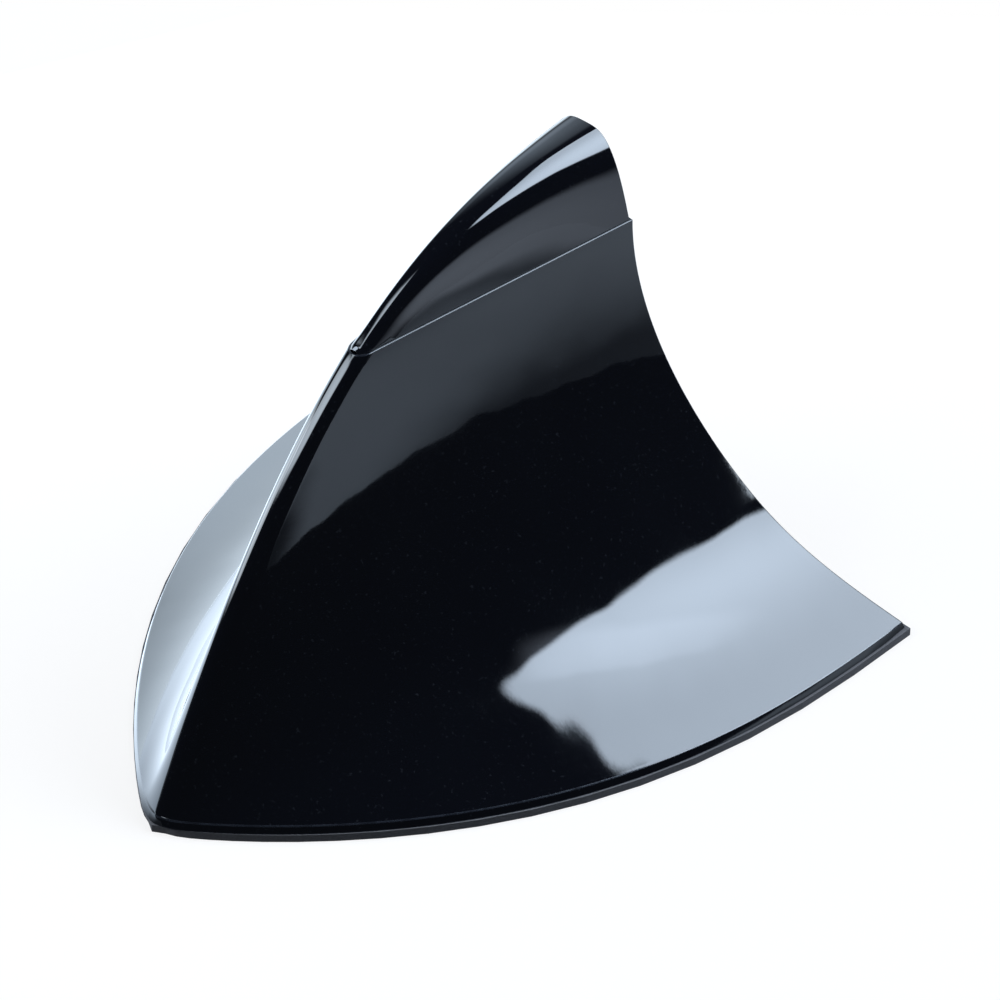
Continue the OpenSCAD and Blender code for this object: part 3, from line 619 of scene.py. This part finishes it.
# painted shade: the paper's colour where the lamps' light would fall off
grey_with_painted_shade.inputs["B"].default_value = linear("#242527")
fibre = add(tree, "ShaderNodeTexNoise", {"Vector": place}, Scale=600.0)
white = add(tree, "ShaderNodeMix", {"Factor": fibre.outputs["Fac"]}, data_type="RGBA")
white.inputs["A"].default_value = linear("#f3f4f5")
white.inputs["B"].default_value = linear("#f7f7f8")
tone = add(tree, "ShaderNodeMix", {"Factor": seen, "A": grey_with_painted_shade.outputs["Result"],
                                   "B": white.outputs["Result"]}, data_type="RGBA")
tree.links.new(tone.outputs["Result"], shader.inputs["Base Color"])
shader.inputs["Roughness"].default_value = 0.9
glow = add(tree, "ShaderNodeEmission", Color=(1, 1, 1, 1), Strength=1.0)
share = add(tree, "ShaderNodeMath", {0: seen}, operation="MULTIPLY")
share.inputs[1].default_value = plain_white
blend = add(tree, "ShaderNodeMixShader",
            {0: share.outputs[0], 1: shader.outputs[0], 2: glow.outputs[0]})
tree.links.new(blend.outputs[0], tree.nodes["Material Output"].inputs["Surface"])
paper.data.materials.append(sheet)
print("paper", round(paper_size[0] * 1000), "by", round(paper_size[1] * 1000), "mm")

# %% [markdown]
# The room round the table is dark, and that is what keeps the fin black. The world is nearly black
# for light and reflections, with a breath of blue, and white only where the camera looks past the
# paper, so the picture has a white ground and no light comes from it.

# %% Dark room with a white backdrop
world = bpy.data.worlds.new("studio")
bpy.context.scene.world = world
world.use_nodes = True
tree = world.node_tree
rays = add(tree, "ShaderNodeLightPath")
shown = add(tree, "ShaderNodeMath", operation="MAXIMUM",
            links={0: rays.outputs["Is Camera Ray"], 1: rays.outputs["Is Transmission Ray"]})
room = add(tree, "ShaderNodeBackground", Color=(0.85, 0.92, 1.0, 1), Strength=0.025)
white = add(tree, "ShaderNodeBackground", Color=(1, 1, 1, 1), Strength=1.0)
blend = add(tree, "ShaderNodeMixShader",
            {0: shown.outputs[0], 1: room.outputs[0], 2: white.outputs[0]})
tree.links.new(blend.outputs[0], tree.nodes["World Output"].inputs["Surface"])
print("the room's light:", room.inputs["Strength"].default_value)

# %% [markdown]
# Every pale shape on the fin is a lamp's reflection, but for the light lines along the bevelled
# edges, which are partly a painted highlight. Left and right are the picture's. The large softbox
# behind on the right gives the pale patch on the flared skirt and the streak on the cap, and a small
# strip beside it carries the patch up the tail's edge. Strips in front on the left draw the line down
# the crest. A card and a panel close beside the far flank brighten it, and a fill behind them
# softens the cap's far side. A small card near the cap's own side gives it the grey of the flank
# below. A real softbox has soft edges, round corners and a brighter middle, and its shape shows in
# gloss, so the light is shaped by the lamp's own nodes.

# %% Softboxes
def softbox(name, place, azimuth, elevation, roll, size, radiance, edge, corner, bulb, colour):
    """A softbox that stands in the direction given and faces the fin. Its light fades over a share
    of the half size at its edge, its corners are as square as the power says, and it is brighter
    near the place of its bulb."""
    lamp = bpy.data.lights.new(name, "AREA")
    lamp.shape = "RECTANGLE"
    lamp.size, lamp.size_y = size
    lamp.energy = radiance * math.pi * size[0] * size[1]
    lamp.color = linear(colour)[:3]
    lamp.use_nodes = True
    tree = lamp.node_tree
    face = add(tree, "ShaderNodeNewGeometry").outputs["Parametric"]
    centred = add(tree, "ShaderNodeVectorMath", {0: face}, operation="MULTIPLY_ADD")
    centred.inputs[1].default_value = (2, 2, 0)
    centred.inputs[2].default_value = (-1, -1, 0)
    size_of = add(tree, "ShaderNodeVectorMath", {0: centred.outputs[0]}, operation="ABSOLUTE")
    split = add(tree, "ShaderNodeSeparateXYZ", {0: size_of.outputs[0]})
    powers = [add(tree, "ShaderNodeMath", {0: split.outputs[k]}, operation="POWER") for k in (0, 1)]
    for node in powers:
        node.inputs[1].default_value = corner
    total = add(tree, "ShaderNodeMath", {0: powers[0].outputs[0], 1: powers[1].outputs[0]},
                operation="ADD")
    reach = add(tree, "ShaderNodeMath", {0: total.outputs[0]}, operation="POWER")
    reach.inputs[1].default_value = 1 / corner
    rim = span(tree, reach.outputs[0], 1 - edge, 1, 1, 0)
    away = add(tree, "ShaderNodeVectorMath", {0: centred.outputs[0]}, operation="DISTANCE")
    away.inputs[1].default_value = (bulb[0], bulb[1], 0)
    hot = span(tree, away.outputs["Value"], 0, 1.3, 1.25, 0.85)
    level = add(tree, "ShaderNodeMath", {0: rim, 1: hot}, operation="MULTIPLY")
    tree.links.new(level.outputs[0], tree.nodes["Emission"].inputs["Strength"])
    obj = bpy.data.objects.new(name, lamp)
    obj.location = place
    obj.visible_camera = False
    a, e = math.radians(azimuth), math.radians(elevation)
    facing = Vector((math.cos(a) * math.cos(e), math.sin(a) * math.cos(e), math.sin(e))) * -1
    turn = facing.to_track_quat("-Z", "Y") @ Quaternion((0, 0, 1), math.radians(roll))
    obj.rotation_euler = turn.to_euler()
    bpy.context.scene.collection.objects.link(obj)
    return obj


lamps = {
    # name: place, azimuth and elevation it stands at, roll, width and height, brightness,
    # soft share of the edge, squareness of the corners, place of the bulb, colour
    "rear_right_softbox": ((0.535, -0.296, 0.706), -49.3, 42.5, 34.5, (1.13, 0.62), 6.1, 0.08, 4,
                           (-0.5, -0.1), "#e6f1fe"),
    "rear_right_strip": ((0.664, -0.770, 0.223), -49.3, 42.5, 79.5, (0.28, 0.07), 6.3, 0.2, 4, (0, 0),
                         "#eef6fe"),
    "front_left_strip": ((-0.510, 0.398, 0.52), 142, 36, 24, (1.0, 0.45), 4.4, 0.3, 3, (0.4, 0),
                         "#eef6fe"),
    "left_low_strip": ((-0.372, 0.699, 0.16), 118, 10, 30, (0.62, 0.30), 3.6, 0.3, 3, (0, 0),
                       "#eef6fe"),
    "front_left_top": ((-0.283, 0.283, 0.74), 135, 60, 0, (0.44, 0.30), 3.8, 0.5, 3, (0, 0),
                       "#eef6fe"),
    "rear_left_fill": ((0.403, 0.568, 0.45), 55, 31, 0, (0.6, 0.8), 0.9, 0.9, 2.5, (0, 0),
                       "#ddedfe"),
    "cap_side_card": ((0.036, -0.056, 0.053), -68, 0, 10, (0.066, 0.026), 0.75, 0.4, 4, (-0.4, 0),
                      "#e2eaf8"),
    "far_side_card": ((0.030, 0.155, 0.02), 68, 0, 0, (0.36, 0.15), 2.2, 0.6, 3, (0.6, -0.2),
                      "#e2f1fe"),
    "far_side_floor_panel": ((0.01, 0.08, 0.0005), 0, -90, 0, (0.20, 0.16), 2.2, 0.15, 6, (0, 0),
                             "#ddedfe"),
}
for name, setting in lamps.items():
    softbox(name, *setting)
print("lamps:", len(bpy.data.lights))

# %% [markdown]
# The Standard view shows each colour as it is written.

# %% Plain view
bpy.context.scene.view_settings.view_transform = "Standard"
